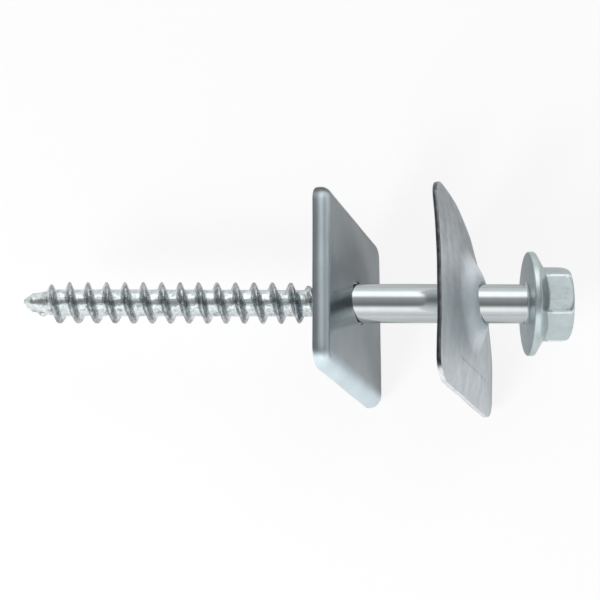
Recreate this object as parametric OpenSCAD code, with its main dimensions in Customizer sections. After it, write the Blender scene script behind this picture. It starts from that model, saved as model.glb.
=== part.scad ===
// Lag screw lying on its side, carried by two loose plates that lean on its shank.
// The X axis is the screw's axis, with the head at +X. X = 0 is the flange's bearing face.

/* [Screw] */
// Length under the head, from the bearing face to the point
screw_len = 96.3; // [85:0.1:130]
// Diameter of the plain shank
shank_d = 7.5; // [7:0.1:8]
// Radius of the fillet where the shank meets the flange
neck_fillet = 0.4; // [0.2:0.1:0.6]

/* [Thread] */
// Length of the threaded end, with the point
thread_len = 57.5; // [40:0.5:62]
// Diameter over the crests
thread_d = 7.9; // [7.4:0.1:8.2]
// Diameter of the core between the crests
core_d = 5.1; // [4.4:0.1:5.6]
// Distance from one crest to the next
pitch = 3.53; // [3:0.01:4]
// Width of the flat on the crest
crest_w = 0.35; // [0.2:0.05:0.6]
// Angle between the two flanks
flank_angle = 56; // [45:1:65]
// Angle at which the thread starts, seen along the screw
start_angle = 336; // [0:1:359]
// Length of the blunt cone at the very end
point_len = 1.8; // [1:0.1:3]
// Diameter at the base of that cone
point_d = 3.8; // [3:0.1:4.2]
// Length over which the core grows to its full diameter
taper_len = 6; // [4:0.1:9]
// Length over which the crest grows to its full height
crest_rise = 5.5; // [4:0.1:8]
// Length over which the crest fades out into the shank
crest_fade = 3.5; // [1:0.1:4.5]

/* [Head] */
// Width across the flats of the hexagon
hex_af = 13; // [12:0.5:14]
// Height of the whole head, flange and hexagon together
head_h = 8.1; // [7:0.1:10]
// Radius that rounds the outer end of the hexagon
hex_round = 2; // [1:0.1:2.5]
// Diameter of the flange
flange_d = 20; // [18:0.1:22]
// Height of the flange's rim
flange_rim = 0.9; // [0.6:0.1:1.4]
// Slope of the flange's upper side
flange_slope = 30; // [20:1:35]

/* [Inner plate] */
// Width, across the screw
inner_width = 34.9; // [30:0.1:45]
// Height, measured along the leaning plate
inner_height = 37; // [30:0.1:45]
// Depth of the turned-down rim
inner_depth = 2.8; // [2.6:0.1:5]
// Thickness of the sheet
inner_sheet = 1.2; // [0.8:0.1:1.5]
// Outside radius of the bend along the edges
inner_bend_r = 2; // [1.6:0.1:2.4]
// Radius of the corners, seen square on
inner_corner_r = 3.4; // [2.5:0.1:5]
// Play in the hole, beyond what the leaning sheet needs to clear the thread and the shank
inner_play = 0.2; // [0.1:0.1:1.2]
// Distance of the plate's middle to the side of the hole
inner_aside = 0.6; // [0:0.1:1]
// Angle by which the plate leans from upright
inner_lean = 19; // [15:0.5:22]
// Distance of the plate from the bearing face, measured on the axis
inner_gap = 32.5; // [28:0.1:34]

/* [Outer plate] */
// Width, across the screw
outer_width = 38.6; // [34:0.1:46]
// Height, measured along the leaning plate
outer_height = 36.1; // [34:0.1:46]
// Thickness of the sheet
outer_sheet = 0.9; // [0.7:0.1:1.2]
// Radius of the corners, seen square on
outer_corner_r = 4; // [2:0.1:6]
// Height by which the middle is crowned above the edges
outer_crown = 1.2; // [0.5:0.1:2.5]
// Drop of the ends of the upper and lower edges below their middles
outer_bow = 0.7; // [0:0.1:1.5]
// Diameter of the flat top of the boss
boss_top_d = 12; // [11.5:0.1:15]
// Diameter at the foot of the boss
boss_foot_d = 18.8; // [16:0.1:20]
// Height of the boss
boss_h = 2; // [0.8:0.1:2.4]
// Play in the hole, beyond what the leaning sheet needs to clear the thread and the shank
outer_play = 1.7; // [0.6:0.1:2.4]
// Distance of the plate's middle to the side of the hole
outer_aside = 0.4; // [0:0.1:1]
// Depth by which the bent corner lies behind the plate
corner_bend = 2.9; // [1:0.1:4]
// Angle by which the plate leans from upright
outer_lean = 21.8; // [18:0.1:25]
// Angle by which the plate is turned about the vertical
outer_turn = -0.3; // [-3:0.1:3]
// Distance of the boss from the bearing face, measured on the axis
outer_gap = 7.8; // [7:0.1:10]

/* [Hidden] */
zinc = [0.74, 0.77, 0.79];
galvanised = [0.66, 0.68, 0.69];

shank_r = shank_d / 2;
core_r = core_d / 2;
crest_r = thread_d / 2;
point_r = point_d / 2;
blunt_r = 0.2;
shoulder_len = 1.2;
foot_sink = 0.3;
crest_delay = 1;
thread_end = thread_len - screw_len;
hex_r = hex_af / 2 / cos(30);
flange_r = flange_d / 2;
flange_break = 0.15;
flange_round = 0.6;
widest_d = max(thread_d, shank_d);
inner_hole_d = (widest_d + inner_sheet * sin(inner_lean) + inner_play) / cos(inner_lean);
outer_hole_d = (widest_d + outer_sheet * sin(outer_lean) + outer_play) / cos(outer_lean);
slide_gap = 0.06;
round_fn = 96;

// The thread is one skin wound round the axis: each turn is a flat valley, a flank, a crest and a flank.
steps_per_turn = 24;
full_crest = crest_r - core_r;
flank_w = full_crest * tan(flank_angle / 2);
valley_w = pitch - crest_w - 2 * flank_w;
lanes = [0, valley_w, valley_w + flank_w, valley_w + flank_w + crest_w];
bare_tip = 1.3;
wind_start = bare_tip - screw_len;
wind_turns = (thread_len - bare_tip) / pitch - 1;
wind_steps = ceil(wind_turns * steps_per_turn);

// Points on an arc about a centre, from one angle to another.
function arc(centre, r, from, to, n) =
    [for (i = [0:n]) centre + r * [cos(from + (to - from) * i / n), sin(from + (to - from) * i / n)]];

function clamp(x, low, high) = min(max(x, low), high);
function mix(a, b, share) = a + (b - a) * share;

// Radius of the thread's core at a place on the axis.
function core_at(x) =
    let (from_point = x + screw_len)
    from_point < point_len
        ? mix(blunt_r, point_r, clamp(from_point / point_len, 0, 1))
        : mix(point_r, core_r, clamp((from_point - point_len) / (taper_len - point_len), 0, 1));

// Height of the crest above the core at a place on the axis.
function crest_at(x) =
    let (
        rise = clamp((x - wind_start - crest_delay) / crest_rise, 0, 1),
        fade = clamp((thread_end - x) / crest_fade, 0, 1)
    )
    full_crest * min(rise, fade);

// A point of the skin: a step along the winding, on one of its four lanes.
function skin_point(step, lane) =
    let (
        angle = start_angle + 360 * step / steps_per_turn,
        x = wind_start + pitch * step / steps_per_turn + lanes[lane],
        r = core_at(x) + (lane > 1 ? crest_at(x) : 0)
    )
    [r * cos(angle), r * sin(angle), x];

// Where that point stands in the list. The last turn has only its first lane.
function skin_index(step, lane) =
    lane == 4 ? skin_index(step + steps_per_turn, 0)
    : step <= wind_steps ? 4 * step + lane
    : 3 * (wind_steps + 1) + step;

module thread() {
    wound = [for (i = [0:wind_steps], lane = [0:3]) skin_point(i, lane)];
    seam = [for (i = [1:steps_per_turn]) skin_point(wind_steps + i, 0)];
    tip = len(wound) + len(seam);
    root = tip + 1;
    skin = [for (i = [0:wind_steps - 1], lane = [0:3])
        let (
            a = skin_index(i, lane),
            b = skin_index(i, lane + 1),
            c = skin_index(i + 1, lane),
            d = skin_index(i + 1, lane + 1)
        )
        each [[a, b, c], [b, d, c]]];
    tip_fan = [for (i = [0:steps_per_turn - 1]) [tip, skin_index(i, 0), skin_index(i + 1, 0)]];
    root_fan = [for (i = [0:steps_per_turn - 1])
        [root, skin_index(wind_steps + i + 1, 0), skin_index(wind_steps + i, 0)]];
    tip_step = [for (lane = [4:-1:0]) skin_index(0, lane)];
    root_step = [for (lane = [0:4]) skin_index(wind_steps, lane)];
    polyhedron(
        concat(wound, seam, [[0, 0, -screw_len], [0, 0, thread_end + shank_r]]),
        concat(skin, tip_fan, root_fan, [concat([tip], tip_step), concat([root], root_step)])
    );
}

// What is plain and round about the axis: shank, neck fillet and flange.
module turned_body() {
    slope_top = flange_rim + (flange_r - hex_af / 2) * tan(flange_slope);
    round_centre = [flange_r - flange_round, flange_rim];
    rotate_extrude($fn = round_fn)
        polygon(concat(
            [[0, thread_end], [core_r - foot_sink, thread_end], [shank_r, thread_end + shoulder_len]],
            arc([shank_r + neck_fillet, -neck_fillet], neck_fillet, 180, 90, 4),
            [[flange_r - flange_break, 0], [flange_r, flange_break]],
            arc(round_centre, flange_round, 0, 90 - flange_slope, 4),
            [[hex_af / 2, slope_top], [0, slope_top]]
        ));
}

module hexagon() {
    intersection() {
        rotate([0, 0, 90])
            cylinder(h = head_h, r = hex_r, $fn = 6);
        rotate_extrude($fn = round_fn)
            polygon(concat(
                [[0, flange_break], [hex_r + 1, flange_break], [hex_r + 1, head_h - hex_round]],
                arc([hex_r - hex_round, head_h - hex_round], hex_round, 0, 90, 8),
                [[0, head_h]]
            ));
    }
}

module screw() {
    color(zinc)
        rotate([0, 90, 0])
            union() {
                turned_body();
                thread();
                hexagon();
            }
}

// Section of the turned-down rim, from the centre of a corner's radius outwards.
module rim_section() {
    bend_x = inner_corner_r - inner_bend_r;
    bend_centre = [bend_x, -inner_bend_r];
    polygon(concat(
        [[0, 0]],
        arc(bend_centre, inner_bend_r, 90, 0, 8),
        [[inner_corner_r, -inner_depth], [inner_corner_r - inner_sheet, -inner_depth]],
        arc(bend_centre, inner_bend_r - inner_sheet, 0, 90, 6),
        [[0, -inner_sheet]]
    ));
}

// The inner plate square on, with its face at Z = 0 and its rim turned down.
module inner_pressing() {
    flat = [inner_height - 2 * inner_corner_r, inner_width - 2 * inner_corner_r];
    difference() {
        union() {
            translate([-flat[0] / 2, -flat[1] / 2, -inner_sheet])
                cube([flat[0], flat[1], inner_sheet]);
            for (quarter = [0:3]) {
                out = flat[quarter % 2];
                along = flat[(quarter + 1) % 2];
                rotate([0, 0, 90 * quarter])
                    translate([out / 2, along / 2, 0]) {
                        rotate_extrude(angle = 90, $fn = round_fn)
                            rim_section();
                        rotate([90, 0, 0])
                            linear_extrude(height = along)
                                rim_section();
                    }
            }
        }
        translate([0, -inner_aside, -2 * inner_depth])
            cylinder(h = 3 * inner_depth, d = inner_hole_d, $fn = round_fn);
    }
}

// Stands a plate up so that it leans, with its face to the head. Its hole's lower edge passes just
// under the thread and the shank. on_axis is where the plane of its face crosses the screw's axis.
module leaning(lean, turn, hole_d, aside, on_axis) {
    lift = (hole_d * cos(lean) - widest_d) / 2 - slide_gap;
    translate([-on_axis - lift * tan(lean), 0, lift])
        rotate([0, 90 - lean, turn])
            translate([0, aside, 0])
                children();
}

module inner_plate() {
    color(zinc)
        leaning(inner_lean, 0, inner_hole_d, inner_aside, inner_gap)
            inner_pressing();
}

// The outer plate is a sheet with rings of points round its hole, from the boss out to the edge.
side_steps = 8;
corner_steps = 4;
boss_rings = 4;
field_rings = 5;
half = [outer_height, outer_width] / 2;
corner_centre = half - [outer_corner_r, outer_corner_r];
side_spans = [atan(corner_centre[1] / half[0]), atan(corner_centre[0] / half[1])];
corner_span = 90 - side_spans[0] - side_spans[1];
angles = [for (quarter = [0:3]) each
    let (span = side_spans[quarter % 2])
    concat(
        [for (i = [0:side_steps - 1]) 90 * quarter + span * (2 * i / side_steps - 1)],
        [for (i = [0:corner_steps - 1]) 90 * quarter + span + corner_span * i / corner_steps]
    )];
sectors = len(angles);
bend_from = 0.38;
bend_full = 1.13;

// Distance from the middle to the rounded outline in one direction.
function outline_at(angle) =
    let (
        c = abs(cos(angle)),
        s = abs(sin(angle)),
        along = corner_centre * [c, s],
        off = corner_centre * [s, -c]
    )
    half[0] * s <= corner_centre[1] * c ? half[0] / c
    : half[1] * c <= corner_centre[0] * s ? half[1] / s
    : along + sqrt(outer_corner_r * outer_corner_r - off * off);

// Radius of one ring in one direction: circles up to the foot of the boss, then out to the outline.
function ring_at(i, angle) =
    i <= 1 ? mix(outer_hole_d / 4, boss_top_d / 2, i)
    : i <= boss_rings ? mix(boss_top_d, boss_foot_d, (i - 1) / (boss_rings - 1)) / 2
    : mix(boss_foot_d / 2, outline_at(angle), (i - boss_rings) / field_rings);

function smooth(x) = let (c = clamp(x, 0, 1)) c * c * (3 - 2 * c);

// How far the corner's bend takes the sheet back: a bend up to bend_full, then straight on.
function bend_at(u) =
    let (
        reach = 2 - bend_from,
        curved = bend_full - bend_from,
        whole = curved * curved + 2 * curved * (reach - curved),
        x = u - bend_from
    )
    x <= 0 ? 0
    : corner_bend / whole * (x < curved ? x * x : curved * curved + 2 * curved * (x - curved));

// Height of the sheet's face over the plane of its edges.
function face_at(x, y) =
    let (
        u = x / half[0],
        v = y / half[1],
        r = norm([x, y]),
        boss = smooth((boss_foot_d / 2 - r) / ((boss_foot_d - boss_top_d) / 2))
    )
    outer_crown * (1 - u * u) * (1 - v * v) - outer_bow * v * v - bend_at(u + v) + boss_h * boss;

module outer_sheet_body() {
    rings = boss_rings + field_rings;
    spots = [for (i = [0:rings], k = [0:sectors - 1])
        let (angle = angles[k], r = ring_at(i, angle))
        [r * cos(angle), r * sin(angle)]];
    face = [for (p = spots) [p[0], p[1], face_at(p[0], p[1])]];
    back = [for (p = face) p - [0, 0, outer_sheet]];
    count = len(spots);
    last = rings * sectors;
    walls = [for (i = [0:rings - 1], k = [0:sectors - 1]) each
        let (
            a = i * sectors + k,
            b = i * sectors + (k + 1) % sectors,
            c = a + sectors,
            d = b + sectors
        )
        [[a, b, c], [b, d, c], [a + count, c + count, b + count], [b + count, c + count, d + count]]];
    rims = [for (k = [0:sectors - 1]) each
        let (n = (k + 1) % sectors)
        [[k, k + count, n], [n, k + count, n + count],
         [last + k, last + n, last + k + count], [last + n, last + n + count, last + k + count]]];
    polyhedron(concat(face, back), concat(walls, rims));
}

// The outer plate square on, with the top of its boss at Z = 0.
module outer_pressing() {
    top = outer_crown + boss_h;
    translate([0, 0, -top])
        difference() {
            outer_sheet_body();
            translate([0, -outer_aside, -outer_width / 2])
                cylinder(h = outer_width, d = outer_hole_d, $fn = round_fn);
        }
}

module outer_plate() {
    color(galvanised)
        leaning(outer_lean, outer_turn, outer_hole_d, outer_aside, outer_gap)
            outer_pressing();
}

screw();
inner_plate();
outer_plate();
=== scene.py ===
import math

import bmesh
import bpy
from mathutils import Matrix, Vector, noise


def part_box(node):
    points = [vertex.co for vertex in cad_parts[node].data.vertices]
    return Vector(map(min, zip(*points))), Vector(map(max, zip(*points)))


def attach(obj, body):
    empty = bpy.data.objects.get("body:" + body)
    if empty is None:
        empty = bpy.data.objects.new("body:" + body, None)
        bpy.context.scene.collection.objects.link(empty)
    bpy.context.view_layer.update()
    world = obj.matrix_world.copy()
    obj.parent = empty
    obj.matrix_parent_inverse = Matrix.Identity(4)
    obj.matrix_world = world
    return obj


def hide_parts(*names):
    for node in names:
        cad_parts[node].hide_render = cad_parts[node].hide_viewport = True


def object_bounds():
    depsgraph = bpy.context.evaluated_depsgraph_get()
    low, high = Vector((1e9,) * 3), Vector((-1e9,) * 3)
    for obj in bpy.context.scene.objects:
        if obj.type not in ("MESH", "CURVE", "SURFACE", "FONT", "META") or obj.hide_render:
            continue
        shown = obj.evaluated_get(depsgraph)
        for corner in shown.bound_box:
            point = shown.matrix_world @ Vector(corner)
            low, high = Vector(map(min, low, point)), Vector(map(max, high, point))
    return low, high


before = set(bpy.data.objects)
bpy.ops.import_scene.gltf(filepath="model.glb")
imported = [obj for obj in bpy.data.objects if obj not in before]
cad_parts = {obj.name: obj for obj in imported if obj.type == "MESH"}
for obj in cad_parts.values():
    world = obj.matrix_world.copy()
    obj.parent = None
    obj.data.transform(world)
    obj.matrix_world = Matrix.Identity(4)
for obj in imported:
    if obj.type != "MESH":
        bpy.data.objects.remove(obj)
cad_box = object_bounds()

# Sizes are in millimetres, as in the CAD source, and MM turns them into Blender's metres.
MM = 0.001

screw_low, screw_high = (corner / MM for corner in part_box("screw"))
TIP_X = screw_low.x
HEAD_X = screw_high.x
FLANGE_R = screw_high.y

# The screw. STEPS is the number of points in one turn of it.
SHANK_R = 3.75
NECK_FILLET = 0.6
THREAD_LEN = 57.5
CREST_R = 3.95
CORE_R = 2.55
PITCH = 3.53
CREST_W = 0.35
FLANK_ANGLE = 56
START_ANGLE = 182.5
VALLEY_LANES = 4
FLANK_LANES = 6
FLANK_ROUNDING = 0.6
CREST_SWELL = 1.02
TAPER_LEN = 6.5
SHOULDER_LEN = 1.2
STEPS = 144

# The screw's point, which is blunt and leans a little to one side. No thread stands on BARE_TIP.
POINT_LEN = 1.7
POINT_R = 1.8
POINT_ASIDE = 0.25
BLUNT_R = 0.28
BLUNT_LEN = 0.08
BARE_TIP = 0.69
TIP_RINGS = 8

# How far along the screw the thread's crest comes up after the point and goes down before the shank
CREST_DELAY = 1.5
CREST_RISE = 4.4
CREST_FADE = 5

# The thread's rolled grain: (size, height). It fades out over GRAIN_FADE before the shank.
COARSE_GRAIN = (1.1, 0.05)
FINE_GRAIN = (0.45, 0.03)
GRAIN_FADE = 2

# The head. The last two are radii that leave its shape alone: one past it, one deep inside it.
HEX_AF = 13
HEX_ROUND = 1.7
HEX_FILLET = 0.25
HEX_END_FILLET = 0.3
HEX_EDGE_SHARPNESS = 160
HEX_EDGE_FROM = 3.6
HEX_EDGE_DEGREES = 1.3
FLANGE_RIM = 0.9
FLANGE_SLOPE = 30
FLANGE_ROUND = 0.6
FLANGE_BREAK = 0.35
HEAD_RING_STEP = 0.15
SHANK_RING_GAP = 0.5
PAST_THE_HEAD = 20
INSIDE_THE_HEXAGON = 1

# The inner plate, a shallow tray. INNER_WAVE is the (size, height) of its unevenness.
INNER_HALF_X = 18.47
INNER_HALF_Y = 17.45
INNER_CORNER = 3.4
INNER_DEPTH = 2.8
INNER_SHEET = 1.2
INNER_BEND_R = 2.0
INNER_CROWN = 0.6
INNER_WAVE = (9, 0.05)
INNER_HOLE_R = 4.49
INNER_ASIDE = 0.6
INNER_LEAN = 19
INNER_GAP = 32.5

# The outer plate, a crowned sheet with a boss and a bent corner. BEND_FROM and BEND_FULL are along
# the diagonal, where the middle is 0 and the corner 2.
OUTER_HALF_X = 18.05
OUTER_HALF_Y = 19.3
OUTER_CORNER = 4
OUTER_SHEET = 0.9
OUTER_CROWN = 1.4
OUTER_BOW = 0.7
OUTER_WAVE = (8, 0.14)
BOSS_TOP_R = 4.2
BOSS_FOOT_R = 10.4
BOSS_H = 1.8
OUTER_HOLE_R = 5.35
OUTER_ASIDE = 0.4
CORNER_BEND = 2.9
BEND_FROM = 0.38
BEND_FULL = 1.13
OUTER_LEAN = 21.8
OUTER_TURN = -0.3
OUTER_GAP = 7.8

# The long scratch on the outer plate, which runs along its own X. Each end fades between two places.
SCRATCH_Y = -13
SCRATCH_LOW_END = (-9, -6)
SCRATCH_HIGH_END = (14, 12)

# Both plates. SLIDE_GAP is the thread's room over the lower edge of the CAD hole, which places the
# plate, and HOLE_PLAY its room all around in the visible hole.
SLIDE_GAP = 0.06
HOLE_ROUND = 0.3
HOLE_PLAY = 0.12
HOLE_STEPS = 5
EDGE_BREAK = 0.12
EDGE_CORNER = 0.3 * EDGE_BREAK
CUT_SLOPE = 0.6
FLAT_LOOPS = 14
BOSS_LOOPS = 12
FIELD_LOOPS = 24
BEND_STEPS = 12
BACK_BEND_STEPS = 6
CORNER_STEPS = 10
SIDE_STEPS = 26

# The light: (degrees about the X axis, level), beside the screw and past the ends of the boxes
BOXES = ((0, 0.95), (20, 1.0), (30, 1.25), (37, 1.85), (60, 1.85), (67, 1.2), (73, 0.65), (80, 0.5),
         (100, 0.35), (115, 0.26), (121, 0.45), (127, 0.85), (134, 1.5), (150, 1.5), (160, 1.1), (180, 0.9))
PAST_THE_BOXES = ((0, 1.2), (25, 0.8), (48, 0.45), (66, 0.2), (112, 0.2), (130, 0.7), (150, 1.2), (180, 1.3))
BOX_ENDS = (0.3, 0.6)
FLOOR_SIZE = 6000
FLOOR_GREY = 0.75
WHITE_TO_CAMERA = 0.85
WHITE_TO_METAL = 0.15
KEY_TOWARDS = (-0.55, -0.65, 0.6)
KEY_DISTANCE = 450
KEY_SIZE = 160
KEY_WATTS = 1.8

# The view
VIEW_X = -43.4
VIEW_ELEVATION = 71.8
VIEW_DISTANCE = 268.2
VIEW_LENS = 84
VIEW_SENSOR = 36
VIEW_SHIFT = 0.0055
VIEW_ROLL = 0.15


def clamp(value, low=0.0, high=1.0):
    return min(max(value, low), high)


def mix(a, b, share):
    return a + (b - a) * share


def smooth(value):
    """0 up to 0 and 1 from 1 on, with an easy slope between."""
    x = clamp(value)
    return x * x * (3 - 2 * x)


def smooth_min(a, b, reach):
    """The lesser of two, blended where they are nearer than a reach."""
    h = max(reach - abs(a - b), 0) / reach
    return min(a, b) - h * h * reach / 4


def smooth_max(a, b, reach):
    return -smooth_min(-a, -b, reach)


def arc(centre, radius, start, end, steps):
    """Points on an arc, from one angle in degrees to another."""
    turn = [math.radians(mix(start, end, i / steps)) for i in range(steps + 1)]
    return [(centre[0] + radius * math.cos(t), centre[1] + radius * math.sin(t)) for t in turn]


def build(name, points, faces):
    """A smooth-shaded mesh object from points in millimetres."""
    mesh = bpy.data.meshes.new(name)
    mesh.from_pydata([Vector(p) * MM for p in points], [], faces)
    shell = bmesh.new()
    shell.from_mesh(mesh)
    bmesh.ops.recalc_face_normals(shell, faces=shell.faces)
    shell.to_mesh(mesh)
    shell.free()
    mesh.polygons.foreach_set("use_smooth", [True] * len(mesh.polygons))
    piece = bpy.data.objects.new(name, mesh)
    bpy.context.scene.collection.objects.link(piece)
    return piece


# ---------------------------------------------------------------- the screw

def core_at(x):
    """Radius of the thread's core, which tapers to the point and grows into the shank."""
    from_point = x - TIP_X
    if from_point < POINT_LEN:
        return mix(BLUNT_R, POINT_R, clamp(from_point / POINT_LEN))
    core = mix(POINT_R, CORE_R, smooth((from_point - POINT_LEN) / (TAPER_LEN - POINT_LEN)))
    into_shank = (from_point - THREAD_LEN) / SHOULDER_LEN
    return mix(core, SHANK_R, smooth(into_shank))


def crest_share(x):
    """How much of the crest's full height stands at a place on the axis."""
    from_point = x - TIP_X
    rise = (from_point - BARE_TIP - CREST_DELAY) / CREST_RISE
    fade = (THREAD_LEN - from_point) / CREST_FADE
    return clamp(min(rise, fade))


def thread_lanes():
    """Offsets along one pitch, each with its share of the crest's height."""
    flank = (CREST_R - CORE_R) * math.tan(math.radians(FLANK_ANGLE / 2))
    valley = PITCH - CREST_W - 2 * flank
    crest_end = valley + flank + CREST_W
    lanes = [(valley * i / VALLEY_LANES, 0.0) for i in range(VALLEY_LANES)]
    shares = [i / FLANK_LANES for i in range(FLANK_LANES + 1)]
    climb = [(share, mix(share, smooth(share), FLANK_ROUNDING)) for share in shares]
    lanes += [(valley + flank * share, height) for share, height in climb]
    lanes.append((crest_end - CREST_W / 2, CREST_SWELL))
    lanes += [(crest_end + flank * share, 1 - height) for share, height in climb[:-1]]
    return lanes


def hex_radius(angle):
    """Distance to the hexagon's flats, with slightly rounded corners."""
    total = 0
    for side in range(6):
        facing = math.cos(math.radians(angle - 30 - 60 * side))
        total += max(facing, 0) ** HEX_EDGE_SHARPNESS
    return HEX_AF / 2 * total ** (-1 / HEX_EDGE_SHARPNESS)


def grain(point, size, height):
    """A little roughness, the same on every run."""
    return height * noise.noise(Vector(point) / size)


def spot(x, r, angle):
    """A point by its place on the screw's axis, its radius and its angle in degrees."""
    return (x, r * math.cos(math.radians(angle)), r * math.sin(math.radians(angle)))


def band(faces, low, high):
    """Faces between two rings, from where each ring starts in the list of points."""
    for i in range(STEPS):
        following = (i + 1) % STEPS
        faces.append((low + i, low + following, high + following, high + i))


def cap(faces, ring, middle):
    """Faces between a ring and the point in its middle."""
    for i in range(STEPS):
        faces.append((ring + i, ring + (i + 1) % STEPS, middle))


class Winding:
    """The thread's skin: lanes wound side by side, from the point into the plain shank."""

    def __init__(self):
        self.lanes = thread_lanes()
        self.start_x = TIP_X + BARE_TIP
        turns = (THREAD_LEN + SHOULDER_LEN - BARE_TIP) / PITCH
        self.last = math.ceil(turns * STEPS)

    def angle(self, step):
        return START_ANGLE + 360 * step / STEPS

    def point(self, step, lane):
        offset, share = self.lanes[lane]
        x = self.start_x + PITCH * step / STEPS + offset
        core = core_at(x)
        height = (CREST_R - core) * crest_share(x) * share
        place = spot(x, core + height, self.angle(step))
        rough = clamp((TIP_X + THREAD_LEN - x) / GRAIN_FADE)
        r = core + height + rough * (grain(place, *COARSE_GRAIN) + grain(place, *FINE_GRAIN))
        return spot(x, r, self.angle(step))

    def index(self, step, lane):
        """Where a point is in the list. Past the last lane comes the next turn's first."""
        if lane == len(self.lanes):
            return self.index(step + STEPS, 0)
        if step <= self.last:
            return len(self.lanes) * step + lane
        return len(self.lanes) * (self.last + 1) + step - self.last - 1

    def mesh(self):
        lanes = range(len(self.lanes))
        points = [self.point(step, lane) for step in range(self.last + 1) for lane in lanes]
        points += [self.point(self.last + i, 0) for i in range(1, STEPS + 1)]
        faces = [(self.index(step, lane), self.index(step + 1, lane),
                  self.index(step + 1, lane + 1), self.index(step, lane + 1))
                 for step in range(self.last) for lane in lanes]
        return points, faces


def add_point(points, faces, winding):
    """Rings from the screw's blunt end to the first turn of the winding."""
    first_ring = len(points)
    for ring in range(TIP_RINGS):
        for i in range(STEPS):
            turn_x = winding.start_x + PITCH * i / STEPS
            x = mix(TIP_X + BLUNT_LEN, turn_x, ring / TIP_RINGS)
            point = spot(x, core_at(x), winding.angle(i))
            aside = POINT_ASIDE * (1 - smooth((x - TIP_X) / BARE_TIP / 2))
            points.append((point[0], point[1] + aside, point[2]))
    points.append((TIP_X, POINT_ASIDE, 0))
    cap(faces, first_ring, len(points) - 1)
    for ring in range(TIP_RINGS - 1):
        band(faces, first_ring + ring * STEPS, first_ring + (ring + 1) * STEPS)
    last_ring = first_ring + (TIP_RINGS - 1) * STEPS
    for i in range(STEPS - 1):
        faces.append((last_ring + i, last_ring + i + 1, winding.index(i + 1, 0), winding.index(i, 0)))
    start = [winding.index(0, lane) for lane in range(len(winding.lanes))]
    start += [winding.index(STEPS, 0), winding.index(STEPS - 1, 0)]
    faces.append([last_ring + STEPS - 1, last_ring] + start)


def add_head(points, faces, winding):
    """Rings from the end of the winding to the middle of the head's end."""
    last = winding.last
    first_ring = len(points)
    first_x = winding.start_x + PITCH * (last / STEPS + 1) + SHANK_RING_GAP
    rings = head_rings(first_x)
    for radius_at, x in rings:
        angles = [winding.angle(last + i) for i in range(STEPS)]
        points += [spot(x, radius_at(angle), angle) for angle in angles]
    points.append((HEAD_X, 0, 0))
    end = [winding.index(last, lane) for lane in range(len(winding.lanes), 0, -1)]
    faces.append([winding.index(last, 0), winding.index(last + 1, 0), first_ring + 1, first_ring] + end)
    for i in range(1, STEPS):
        faces.append((winding.index(last + i, 0), winding.index(last + i + 1, 0),
                      first_ring + (i + 1) % STEPS, first_ring + i))
    for ring in range(len(rings) - 1):
        band(faces, first_ring + ring * STEPS, first_ring + (ring + 1) * STEPS)
    cap(faces, first_ring + (len(rings) - 1) * STEPS, len(points) - 1)


def head_rings(first_x):
    """(radius by angle, x) of each ring from the plain shank to the end of the head."""
    def round_ring(r):
        return lambda angle: r

    def hex_ring(cone_r, end_r):
        """Out of the flange's cone grows the hexagon, which the rounding of the end cuts off."""
        return lambda angle: smooth_min(smooth_max(cone_r, hex_radius(angle), HEX_FILLET),
                                        end_r, HEX_END_FILLET)

    neck_r = SHANK_R + NECK_FILLET
    profile = [(mix(first_x, -NECK_FILLET, i / 12), SHANK_R) for i in range(12)]
    profile += arc((-NECK_FILLET, neck_r), NECK_FILLET, -90, 0, 6)
    profile += [(0, mix(neck_r, FLANGE_R - FLANGE_BREAK, i / 8)) for i in range(1, 9)]
    profile += arc((FLANGE_BREAK, FLANGE_R - FLANGE_BREAK), FLANGE_BREAK, 180, 90, 4)[1:]
    profile += [(mix(FLANGE_BREAK, FLANGE_RIM, i / 3), FLANGE_R) for i in range(1, 3)]
    profile += arc((FLANGE_RIM, FLANGE_R - FLANGE_ROUND), FLANGE_ROUND, 90, FLANGE_SLOPE, 8)
    rings = [(round_ring(r), x) for x, r in profile]

    slope = math.tan(math.radians(FLANGE_SLOPE))
    round_from = HEAD_X - HEX_ROUND
    end_r = HEX_AF / 2 / math.cos(math.radians(30)) - HEX_ROUND
    x, r = profile[-1]
    while x < round_from - HEAD_RING_STEP:
        x += HEAD_RING_STEP
        r -= HEAD_RING_STEP / slope
        rings.append((hex_ring(max(r, INSIDE_THE_HEXAGON), PAST_THE_HEAD), x))
    for x, r in arc((round_from, end_r), HEX_ROUND, 90, 0, 18):
        rings.append((hex_ring(INSIDE_THE_HEXAGON, r), x))
    for i in range(1, 10):
        rings.append((round_ring(end_r * (1 - i / 10)), HEAD_X))
    return rings


def screw():
    THREAD, SHANK, HEAD, EDGE = range(4)
    winding = Winding()
    points, faces = winding.mesh()
    add_point(points, faces, winding)
    add_head(points, faces, winding)
    piece = build("lag_screw", points, faces)
    for face in piece.data.polygons:
        x, y, z = face.center / MM
        turn = math.degrees(math.atan2(z, y)) % 60
        at_corner = math.hypot(y, z) > HEX_AF / 2 and min(turn, 60 - turn) < HEX_EDGE_DEGREES
        if x < TIP_X + THREAD_LEN:
            face.material_index = THREAD
        elif x < -0.5 * NECK_FILLET:
            face.material_index = SHANK
        else:
            # Faces on the hexagon's edges take the material with the painted highlight.
            face.material_index = EDGE if at_corner and x > HEX_EDGE_FROM else HEAD
    return piece


# ---------------------------------------------------------------- the plates

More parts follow.
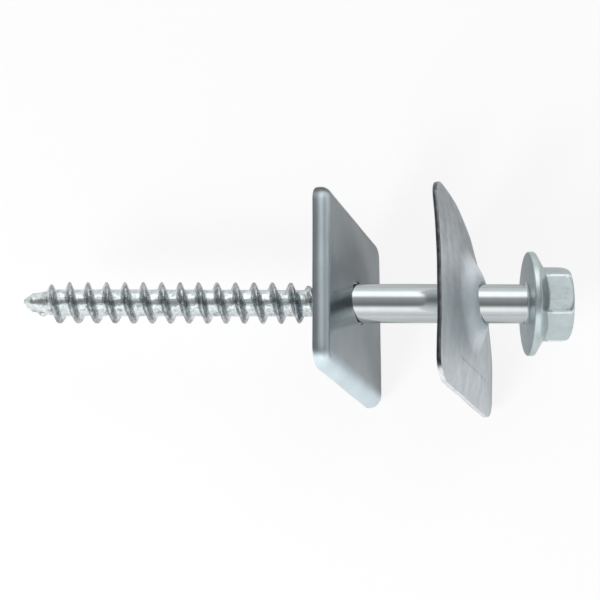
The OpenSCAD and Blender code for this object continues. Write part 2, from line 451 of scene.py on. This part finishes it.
def outline(half_x, half_y, corner, inset):
    """A rounded rectangle, set in from its edge. It has the same number of points at every inset."""
    r = max(corner - inset, 0.05)
    reach = (half_x - inset - r, half_y - inset - r)
    signs = ((1, 1), (-1, 1), (-1, -1), (1, -1))
    points = []
    for quarter in range(4):
        here = (signs[quarter][0] * reach[0], signs[quarter][1] * reach[1])
        after = signs[(quarter + 1) % 4]
        there = (after[0] * reach[0], after[1] * reach[1])
        points += arc(here, r, 90 * quarter, 90 * quarter + 90, CORNER_STEPS)[:-1]
        turn = math.radians(90 * quarter + 90)
        out = (r * math.cos(turn), r * math.sin(turn))
        for i in range(SIDE_STEPS):
            share = i / SIDE_STEPS
            points.append((mix(here[0], there[0], share) + out[0],
                           mix(here[1], there[1], share) + out[1]))
    return points


def between(near, far, share):
    """Part of the way from one loop to another, point by point."""
    return [(mix(a[0], b[0], share), mix(a[1], b[1], share)) for a, b in zip(near, far)]


def circle_on(edge, r):
    """A circle with a point in the direction of each point of an outline."""
    return [(x / math.hypot(x, y) * r, y / math.hypot(x, y) * r) for x, y in edge]


def hole_on(edge, lean, hole_r, height, sheet, aside, wider):
    """The oval that the thread just passes, in a leaning sheet whose face is at a height."""
    slope = math.radians(lean)
    lift = hole_r * math.cos(slope) - CREST_R - SLIDE_GAP
    half_x = (CREST_R + HOLE_PLAY) / math.cos(slope) + sheet / 2 * math.tan(slope) + wider
    half_y = CREST_R + HOLE_PLAY + wider
    middle_x = lift / math.cos(slope) + (height - sheet / 2) * math.tan(slope)
    return [(middle_x + x * half_x, y * half_y - aside) for x, y in circle_on(edge, 1)]


def pressed_skin(name, rows):
    """A closed skin through loops of points, whose last loop meets the first."""
    count = len(rows[0])
    points = [p for row in rows for p in row]
    faces = []
    for k in range(len(rows)):
        low = k * count
        high = (k + 1) % len(rows) * count
        for i in range(count):
            following = (i + 1) % count
            faces.append((low + i, low + following, high + following, high + i))
    return build(name, points, faces)


def plate_origin(lean, hole_r, aside, on_axis):
    """Middle of a leaning plate's face, with its hole just under the screw's lower side."""
    lift = hole_r * math.cos(math.radians(lean)) - CREST_R - SLIDE_GAP
    return Vector((-on_axis - lift * math.tan(math.radians(lean)), aside, lift))


def stand_up(piece, origin, lean, turn=0):
    """Leans a plate that was made square on."""
    turned = Matrix.Rotation(math.radians(turn), 4, "Z")
    leaned = Matrix.Rotation(math.radians(90 - lean), 4, "Y")
    piece.data.transform(Matrix.Translation(origin * MM) @ turned @ leaned)
    piece.data.update()


INNER_ORIGIN = plate_origin(INNER_LEAN, INNER_HOLE_R, INNER_ASIDE, INNER_GAP)
OUTER_ORIGIN = plate_origin(OUTER_LEAN, OUTER_HOLE_R, OUTER_ASIDE, OUTER_GAP)


def inner_plate():
    flat_edge = outline(INNER_HALF_X, INNER_HALF_Y, INNER_CORNER, INNER_BEND_R)
    rows = []

    def crown(x, y):
        u = clamp(abs(x) / (INNER_HALF_X - INNER_BEND_R))
        v = clamp(abs(y) / (INNER_HALF_Y - INNER_BEND_R))
        return INNER_CROWN * (1 - u * u) * (1 - v * v)

    def row(loop, z):
        rows.append([(x, y, z + crown(x, y) + grain((x, y, z), *INNER_WAVE)) for x, y in loop])

    def hole(wider):
        height = crown(INNER_HOLE_R, 0)
        return hole_on(flat_edge, INNER_LEAN, INNER_HOLE_R, height, INNER_SHEET, INNER_ASIDE, wider)

    def bend(radius, start, end, steps):
        for i in range(steps + 1):
            t = math.radians(mix(start, end, i / steps))
            inset = INNER_BEND_R - radius * math.sin(t)
            loop = outline(INNER_HALF_X, INNER_HALF_Y, INNER_CORNER, inset)
            row(loop, -INNER_BEND_R + radius * math.cos(t))

    for i in range(HOLE_STEPS + 1):
        t = math.radians(90 * i / HOLE_STEPS)
        row(hole(HOLE_ROUND * (1 - math.cos(t))), HOLE_ROUND * (math.sin(t) - 1))
    for i in range(1, FLAT_LOOPS):
        row(between(hole(HOLE_ROUND), flat_edge, i / FLAT_LOOPS), 0)
    bend(INNER_BEND_R, 0, 90, BEND_STEPS)
    wall = ((mix(INNER_BEND_R, INNER_DEPTH, 0.5), 0), (INNER_DEPTH - EDGE_BREAK, 0),
            (INNER_DEPTH, EDGE_BREAK), (INNER_DEPTH, INNER_SHEET - EDGE_BREAK),
            (INNER_DEPTH - EDGE_BREAK, INNER_SHEET))
    for depth, inset in wall:
        row(outline(INNER_HALF_X, INNER_HALF_Y, INNER_CORNER, inset), -depth)
    bend(INNER_BEND_R - INNER_SHEET, 90, 0, BACK_BEND_STEPS)
    for i in reversed(range(FLAT_LOOPS)):
        row(between(hole(EDGE_BREAK), flat_edge, i / FLAT_LOOPS), -INNER_SHEET)
    row(hole(0), -INNER_SHEET + EDGE_BREAK)
    piece = pressed_skin("inner_tray", rows)
    stand_up(piece, INNER_ORIGIN, INNER_LEAN)
    return piece


def bend_at(u):
    """How far the bent corner falls back: a bend up to BEND_FULL, then straight on."""
    reach = 2 - BEND_FROM
    curved = BEND_FULL - BEND_FROM
    whole = curved * curved + 2 * curved * (reach - curved)
    x = u - BEND_FROM
    if x <= 0:
        return 0
    if x < curved:
        return CORNER_BEND / whole * x * x
    return CORNER_BEND / whole * (curved * curved + 2 * curved * (x - curved))


def outer_face(x, y):
    """Height of the outer plate's face over the plane of its edges."""
    u = x / OUTER_HALF_X
    v = y / OUTER_HALF_Y
    boss = smooth((BOSS_FOOT_R - math.hypot(x, y)) / (BOSS_FOOT_R - BOSS_TOP_R))
    crown = OUTER_CROWN * (1 - u * u) * (1 - v * v) - OUTER_BOW * v * v
    return crown - bend_at(u + v) + BOSS_H * boss + grain((x, y, 0), *OUTER_WAVE) * (1 - boss)


def outer_plate():
    FACE, CUT, BACK = range(3)
    top = OUTER_CROWN + BOSS_H
    rows = []

    def row(loop, depth):
        rows.append([(x, y, outer_face(x, y) - top - depth) for x, y in loop])

    def edge(inset):
        return outline(OUTER_HALF_X, OUTER_HALF_Y, OUTER_CORNER, inset)

    field_edge = edge(EDGE_BREAK)

    def hole(wider):
        height = outer_face(OUTER_HOLE_R, 0) - top
        return hole_on(field_edge, OUTER_LEAN, OUTER_HOLE_R, height, OUTER_SHEET, OUTER_ASIDE, wider)

    boss_foot = circle_on(field_edge, BOSS_FOOT_R)
    loops = [between(hole(HOLE_ROUND), boss_foot, i / BOSS_LOOPS) for i in range(BOSS_LOOPS)]
    loops += [between(boss_foot, field_edge, i / FIELD_LOOPS) for i in range(FIELD_LOOPS + 1)]
    for i in range(HOLE_STEPS):
        t = math.radians(90 * i / HOLE_STEPS)
        row(hole(HOLE_ROUND * (1 - math.cos(t))), HOLE_ROUND * (1 - math.sin(t)))
    for loop in loops:
        row(loop, 0)
    row(edge(EDGE_CORNER), EDGE_CORNER)
    row(edge(0), EDGE_BREAK)
    row(edge(0), OUTER_SHEET - EDGE_BREAK)
    row(edge(EDGE_CORNER), OUTER_SHEET - EDGE_CORNER)
    for loop in reversed(loops):
        row(loop, OUTER_SHEET)
    row(hole(0), OUTER_SHEET - EDGE_BREAK)
    piece = pressed_skin("outer_pressing", rows)
    for face in piece.data.polygons:
        face.material_index = BACK if face.normal.z < 0 else FACE
        if abs(face.normal.z) < CUT_SLOPE and face.center.to_2d().length > BOSS_FOOT_R * MM:
            face.material_index = CUT
    stand_up(piece, OUTER_ORIGIN, OUTER_LEAN, OUTER_TURN)
    return piece


# ---------------------------------------------------------------- materials

class Tree:
    """A node tree, with short ways to add to it."""

    def __init__(self, tree):
        self.tree = tree

    def add(self, kind, **settings):
        node = self.tree.nodes.new(kind)
        for key, value in settings.items():
            setattr(node, key, value)
        return node

    def link(self, source, target):
        self.tree.links.new(source, target)

    def math(self, operation, *values):
        node = self.add("ShaderNodeMath", operation=operation)
        for i, value in enumerate(values):
            if isinstance(value, (int, float)):
                node.inputs[i].default_value = value
            else:
                self.link(value, node.inputs[i])
        return node.outputs["Value"]

    def step(self, value, start, end):
        """0 before one value and 1 past another, with a smooth step between."""
        remap = self.add("ShaderNodeMapRange", interpolation_type="SMOOTHSTEP")
        remap.inputs["From Min"].default_value = start
        remap.inputs["From Max"].default_value = end
        self.link(value, remap.inputs["Value"])
        return remap.outputs["Result"]

    def along(self, place, axis):
        split = self.add("ShaderNodeSeparateXYZ")
        self.link(place, split.inputs[0])
        return split.outputs[axis]

    def blend(self, share, a, b):
        mixer = self.add("ShaderNodeMix", data_type="RGBA")
        self.link(share, mixer.inputs["Factor"])
        self.link(a, mixer.inputs[6])
        self.link(b, mixer.inputs[7])
        return mixer.outputs[2]

    def ramp(self, value, stops):
        """Colours by value: each stop is (position, colour)."""
        ramp = self.add("ShaderNodeValToRGB")
        elements = ramp.color_ramp.elements
        while len(elements) < len(stops):
            elements.new(0.5)
        for element, (position, colour) in zip(elements, stops):
            element.position = position
            element.color = (*colour, 1)
        self.link(value, ramp.inputs["Fac"])
        return ramp.outputs["Color"]

    def tones(self, value, tint, *stops):
        """Shades of one tint by value: each stop is (position, level)."""
        return self.ramp(value, [(position, [level * t for t in tint]) for position, level in stops])


class Nodes(Tree):
    """A new material's node tree, with its shader and coordinates in millimetres."""

    def __init__(self, name):
        self.material = bpy.data.materials.new(name)
        self.material.use_nodes = True
        super().__init__(self.material.node_tree)
        self.shader = self.tree.nodes["Principled BSDF"]
        self.object_place = self.add("ShaderNodeTexCoord").outputs["Object"]

    def mapped(self, place, **values):
        mapping = self.add("ShaderNodeMapping")
        for name, value in values.items():
            mapping.inputs[name].default_value = value
        self.link(place, mapping.inputs["Vector"])
        return mapping.outputs["Vector"]

    def place(self, stretch=(1, 1, 1)):
        """Coordinates in millimetres, then stretched."""
        return self.mapped(self.object_place, Scale=[share / MM for share in stretch])

    def plate_place(self, origin, lean):
        """Coordinates in millimetres on a leaning plate, as it was before it was leaned."""
        shifted = self.mapped(self.object_place, Location=-origin, Scale=(1 / MM,) * 3)
        return self.mapped(shifted, Rotation=(0, -math.radians(90 - lean), 0))

    def radius(self, place, one, other):
        """Distance from an axis, from the coordinates across it."""
        squares = [self.math("POWER", self.math("ABSOLUTE", self.along(place, axis)), 2)
                   for axis in (one, other)]
        return self.math("SQRT", self.math("ADD", *squares))

    def noise(self, place, scale, detail=4, rough=0.55):
        texture = self.add("ShaderNodeTexNoise")
        texture.inputs["Scale"].default_value = scale
        texture.inputs["Detail"].default_value = detail
        texture.inputs["Roughness"].default_value = rough
        self.link(place, texture.inputs["Vector"])
        return texture.outputs["Fac"]

    def scaled(self, value, low, high):
        """A noise's usual span, from 0.3 to 0.7, brought to another span."""
        remap = self.add("ShaderNodeMapRange")
        remap.inputs["From Min"].default_value = 0.3
        remap.inputs["From Max"].default_value = 0.7
        remap.inputs["To Min"].default_value = low
        remap.inputs["To Max"].default_value = high
        self.link(value, remap.inputs["Value"])
        return remap.outputs["Result"]

    def bump(self, height, distance, strength=1.0, under=None):
        bump = self.add("ShaderNodeBump")
        bump.inputs["Strength"].default_value = strength
        bump.inputs["Distance"].default_value = distance * MM
        self.link(height, bump.inputs["Height"])
        if under is not None:
            self.link(under, bump.inputs["Normal"])
        return bump.outputs["Normal"]

    def metal(self, colour, roughness, normal=None):
        """Makes the shader a bare metal. Colour and roughness are linked, or the same all over."""
        for name, value in (("Base Color", colour), ("Roughness", roughness)):
            if isinstance(value, bpy.types.NodeSocket):
                self.link(value, self.shader.inputs[name])
            else:
                self.shader.inputs[name].default_value = value
        if normal is not None:
            self.link(normal, self.shader.inputs["Normal"])
        self.shader.inputs["Metallic"].default_value = 1
        return self.material


def shank_zinc():
    """Smooth bright zinc, with very faint drawing lines along the shank."""
    nodes = Nodes("zinc_shank")
    lines = nodes.noise(nodes.place((0.06, 1, 1)), 3.0)
    cloud = nodes.noise(nodes.place(), 0.35)
    colour = nodes.tones(cloud, (0.93, 1, 1.01), (0.3, 0.53), (0.7, 0.57))
    return nodes.metal(colour, nodes.scaled(lines, 0.11, 0.15), nodes.bump(lines, 0.003, 0.5))


def thread_zinc():
    """Rolled thread: grainy zinc with darker pits, and darker along the crests."""
    nodes = Nodes("zinc_thread")
    place = nodes.place()
    coarse = nodes.noise(place, 1.1, 5, 0.65)
    fine = nodes.noise(place, 4.5, 3, 0.6)
    tint = (0.93, 1, 1.02)
    core = nodes.tones(coarse, tint, (0.32, 0.3), (0.44, 0.62), (0.62, 0.8))
    ridge = nodes.tones(coarse, tint, (0.34, 0.2), (0.5, 0.4), (0.66, 0.6))
    colour = nodes.blend(nodes.step(nodes.radius(place, "Y", "Z"), 2.8, 3.4), core, ridge)
    grained = nodes.bump(fine, 0.03, 0.6, nodes.bump(coarse, 0.12, 0.6))
    return nodes.metal(colour, nodes.scaled(coarse, 0.34, 0.18), grained)


def head_zinc():
    """Forged head: satin zinc, a little mottled."""
    nodes = Nodes("zinc_head")
    place = nodes.place()
    cloud = nodes.noise(place, 0.5, 5, 0.6)
    fine = nodes.noise(place, 3.0, 4, 0.6)
    colour = nodes.tones(cloud, (0.88, 1, 1.02), (0.3, 0.54), (0.7, 0.66))
    uneven = nodes.bump(fine, 0.012, 0.4, nodes.bump(cloud, 0.14, 0.4))
    return nodes.metal(colour, nodes.scaled(cloud, 0.28, 0.4), uneven)


def edge_highlight_zinc():
    """The hexagon's edges, with a painted highlight: bright, rough zinc that stands in for the light along
    them.
    """
    return Nodes("zinc_edges_painted_highlight").metal((0.8, 0.88, 0.9, 1), 0.55)


def tray_zinc():
    """Satin zinc on the pressed tray, with light and shade painted into its colour: painted highlights along
    two of its bends, which are also rougher, painted shade on its wall and far side, and a painted dark
    reflection of the shank beside the hole.
    """
    nodes = Nodes("zinc_tray")
    place = nodes.plate_place(INNER_ORIGIN, INNER_LEAN)
    x, y, z = (nodes.along(place, axis) for axis in "XYZ")
    cloud = nodes.noise(place, 0.12, 3)
    fine = nodes.noise(place, 2.2, 4, 0.6)

    def shade(low, high):
        return nodes.tones(cloud, (0.87, 1, 1.06), (0.3, low), (0.7, high))

    # Painted light in the colour: a painted dark reflection of the shank on the far side of the hole,
    # painted highlights on the top and near bends, painted shade on the wall and the far bend.
    painted_reflection_by_hole = nodes.math("MULTIPLY", nodes.step(nodes.radius(place, "X", "Y"), 16, 7), nodes.step(y, -3, 4))
    painted_highlight_at_top = nodes.step(x, 2.6 - INNER_HALF_X, 1 - INNER_HALF_X)
    painted_shade_on_wall = nodes.step(z, -0.6, -2)
    painted_highlight_at_near_side = nodes.step(y, 3.6 - INNER_HALF_Y, 1 - INNER_HALF_Y)
    painted_shade_at_far_side = nodes.step(y, INNER_HALF_Y - 2.4, INNER_HALF_Y - 1.2)
    colour = nodes.blend(painted_reflection_by_hole, shade(0.29, 0.36), shade(0.14, 0.2))
    colour = nodes.blend(painted_highlight_at_top, colour, shade(0.6, 0.68))
    colour = nodes.blend(painted_shade_on_wall, colour, shade(0.26, 0.32))
    colour = nodes.blend(painted_highlight_at_near_side, colour, shade(0.78, 0.88))
    colour = nodes.blend(painted_shade_at_far_side, colour, shade(0.11, 0.17))
    satin = nodes.math("MULTIPLY", nodes.math("MAXIMUM", painted_highlight_at_top, painted_highlight_at_near_side), 0.26)
    roughness = nodes.math("ADD", nodes.scaled(fine, 0.15, 0.19), satin)
    return nodes.metal(colour, roughness, nodes.bump(fine, 0.002, 0.3))


def scratch(nodes, place, fine):
    """How much of the long broken scratch is at a place on the outer plate."""
    off_line = nodes.math("ABSOLUTE", nodes.math("SUBTRACT", nodes.along(place, "Y"), SCRATCH_Y))
    line = nodes.math("MULTIPLY", nodes.step(off_line, 0.4, 0.1), nodes.step(fine, 0.47, 0.53))
    low_end = nodes.step(nodes.along(place, "X"), *SCRATCH_LOW_END)
    high_end = nodes.step(nodes.along(place, "X"), *SCRATCH_HIGH_END)
    length = nodes.math("MULTIPLY", low_end, high_end)
    return nodes.math("MULTIPLY", nodes.math("MULTIPLY", line, length), 0.8)


def sheet_zinc():
    """Galvanised sheet: mottled, with soft streaks across it and one scratch, and with light and shade
    painted into its colour: painted shade toward the far side, painted light toward the near side and on the
    boss.
    """
    nodes = Nodes("galvanised_sheet")
    place = nodes.plate_place(OUTER_ORIGIN, OUTER_LEAN)
    cloud = nodes.noise(place, 0.4, 6, 0.65)
    streaks = nodes.noise(nodes.mapped(place, Scale=(1, 0.16, 0.2)), 0.45, 2, 0.4)
    fine = nodes.noise(place, 3.0, 4, 0.6)
    mottle = nodes.math("ADD", nodes.math("MULTIPLY", cloud, 0.5), nodes.math("MULTIPLY", streaks, 0.5))
    y = nodes.along(place, "Y")
    painted_light_on_boss = nodes.step(nodes.radius(place, "X", "Y"), BOSS_FOOT_R, 6)

    def shade(*stops):
        return nodes.tones(mottle, (0.94, 1, 1.04), *stops)

    # Painted shade toward the far side (+Y), painted light toward the near side (-Y) and on the boss. The
    # scratch takes the darker colour.
    darker = shade((0.36, 0.38), (0.64, 0.52))
    colour = nodes.blend(nodes.step(y, 2, 15), shade((0.36, 0.56), (0.5, 0.64), (0.64, 0.71)), darker)
    colour = nodes.blend(nodes.step(y, -2, -14), colour, shade((0.36, 0.62), (0.64, 0.74)))
    colour = nodes.blend(painted_light_on_boss, colour, shade((0.36, 0.88), (0.64, 1)))
    colour = nodes.blend(scratch(nodes, place, fine), colour, darker)
    marked = nodes.bump(fine, 0.012, 0.5, nodes.bump(streaks, 0.05, 0.25))
    return nodes.metal(colour, nodes.scaled(cloud, 0.6, 0.46), marked)


def back_zinc():
    """The back of the outer sheet, plainer and made brighter: painted light on a back that lies in shade,
    which also lightens its dark reflection in the shank.
    """
    nodes = Nodes("galvanised_back")
    cloud = nodes.noise(nodes.place(), 0.4, 5, 0.6)
    colour = nodes.ramp(cloud, [(0.35, (0.82, 0.85, 0.87)), (0.65, (0.93, 0.95, 0.97))])
    return nodes.metal(colour, nodes.scaled(cloud, 0.5, 0.4))


def cut_zinc():
    """The sheared edge of the outer sheet, with painted shade along three sides and a painted highlight
    along the fourth.
    """
    nodes = Nodes("sheared_edge")
    place = nodes.plate_place(OUTER_ORIGIN, OUTER_LEAN)
    run = nodes.noise(place, 0.5)
    dark = nodes.ramp(run, [(0.35, (0.09, 0.1, 0.11)), (0.65, (0.2, 0.21, 0.22))])
    bright = nodes.ramp(run, [(0.35, (0.74, 0.76, 0.78)), (0.65, (0.9, 0.92, 0.94))])
    # The near (-Y) side gets the painted highlight and the other sides the painted shade.
    highlight_side = nodes.step(nodes.along(place, "Y"), 2.5 - OUTER_HALF_Y, 1 - OUTER_HALF_Y)
    return nodes.metal(nodes.blend(highlight_side, dark, bright), 0.2)


# ---------------------------------------------------------------- the pieces

for piece, node, materials in (
    (screw(), "screw", (thread_zinc(), shank_zinc(), head_zinc(), edge_highlight_zinc())),
    (inner_plate(), "inner_plate", (tray_zinc(),)),
    (outer_plate(), "outer_plate", (sheet_zinc(), cut_zinc(), back_zinc())),
):
    for material in materials:
        piece.data.materials.append(material)
    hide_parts(node)
    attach(piece, node)


# ---------------------------------------------------------------- floor, light and camera

def studio_floor():
    """A pale floor. The camera and the metal see most of it as plain white, under a soft shadow."""
    bpy.ops.mesh.primitive_plane_add(size=FLOOR_SIZE * MM, location=(0, 0, cad_box[0].z))
    floor = bpy.context.object
    floor.name = "studio_floor"
    nodes = Nodes("white_floor")
    nodes.shader.inputs["Base Color"].default_value = (FLOOR_GREY, FLOOR_GREY, FLOOR_GREY, 1)
    nodes.shader.inputs["Roughness"].default_value = 1
    nodes.shader.inputs["Specular IOR Level"].default_value = 0
    glow = nodes.add("ShaderNodeEmission")
    path = nodes.add("ShaderNodeLightPath")
    mirrored = nodes.math("MAXIMUM", path.outputs["Is Glossy Ray"], path.outputs["Is Transmission Ray"])
    share = nodes.math("MAXIMUM", nodes.math("MULTIPLY", path.outputs["Is Camera Ray"], WHITE_TO_CAMERA),
                       nodes.math("MULTIPLY", mirrored, WHITE_TO_METAL))
    blend = nodes.add("ShaderNodeMixShader")
    nodes.link(share, blend.inputs[0])
    nodes.link(nodes.shader.outputs[0], blend.inputs[1])
    nodes.link(glow.outputs[0], blend.inputs[2])
    nodes.link(blend.outputs[0], nodes.tree.nodes["Material Output"].inputs["Surface"])
    floor.data.materials.append(nodes.material)


def studio_world():
    """Long soft boxes beside the screw, as bands of light by the angle about the X axis."""
    world = bpy.data.worlds.new("studio")
    bpy.context.scene.world = world
    world.use_nodes = True
    nodes = Tree(world.node_tree)
    direction = nodes.add("ShaderNodeTexCoord").outputs["Generated"]
    x, y, z = (nodes.along(direction, axis) for axis in "XYZ")
    half_turns = nodes.math("DIVIDE", nodes.math("ARCTAN2", z, y), math.pi)

    def bands(levels):
        """Light by the degrees from the horizon at +Y, over the top, to the horizon at -Y."""
        return nodes.tones(half_turns, (1, 1, 1), *((degrees / 180, light) for degrees, light in levels))

    past_boxes = nodes.step(nodes.math("ABSOLUTE", x), *BOX_ENDS)
    colour = nodes.blend(past_boxes, bands(BOXES), bands(PAST_THE_BOXES))
    nodes.link(colour, nodes.tree.nodes["Background"].inputs["Color"])


def key_light():
    """A soft lamp from the front left, for the floor and for pieces that aren't metal."""
    data = bpy.data.lights.new("key", "AREA")
    data.shape = "DISK"
    data.size = KEY_SIZE * MM
    data.energy = KEY_WATTS
    lamp = bpy.data.objects.new("key", data)
    bpy.context.scene.collection.objects.link(lamp)
    towards = Vector(KEY_TOWARDS).normalized()
    lamp.location = (towards * KEY_DISTANCE + Vector((VIEW_X, 0, 0))) * MM
    lamp.rotation_euler = towards.to_track_quat("Z", "Y").to_euler()
    lamp.visible_glossy = False


def camera():
    data = bpy.data.cameras.new("camera")
    data.lens = VIEW_LENS
    data.sensor_width = VIEW_SENSOR
    data.shift_y = VIEW_SHIFT
    eye = bpy.data.objects.new("camera", data)
    bpy.context.scene.collection.objects.link(eye)
    up = math.radians(VIEW_ELEVATION)
    eye.location = Vector((VIEW_X, -VIEW_DISTANCE * math.cos(up), VIEW_DISTANCE * math.sin(up))) * MM
    tilt = Matrix.Rotation(math.radians(90 - VIEW_ELEVATION), 3, "X")
    roll = Matrix.Rotation(math.radians(VIEW_ROLL), 3, "Z")
    eye.rotation_euler = (tilt @ roll).to_euler()
    bpy.context.scene.camera = eye


studio_floor()
studio_world()
key_light()
camera()
bpy.context.scene.view_settings.view_transform = "Standard"
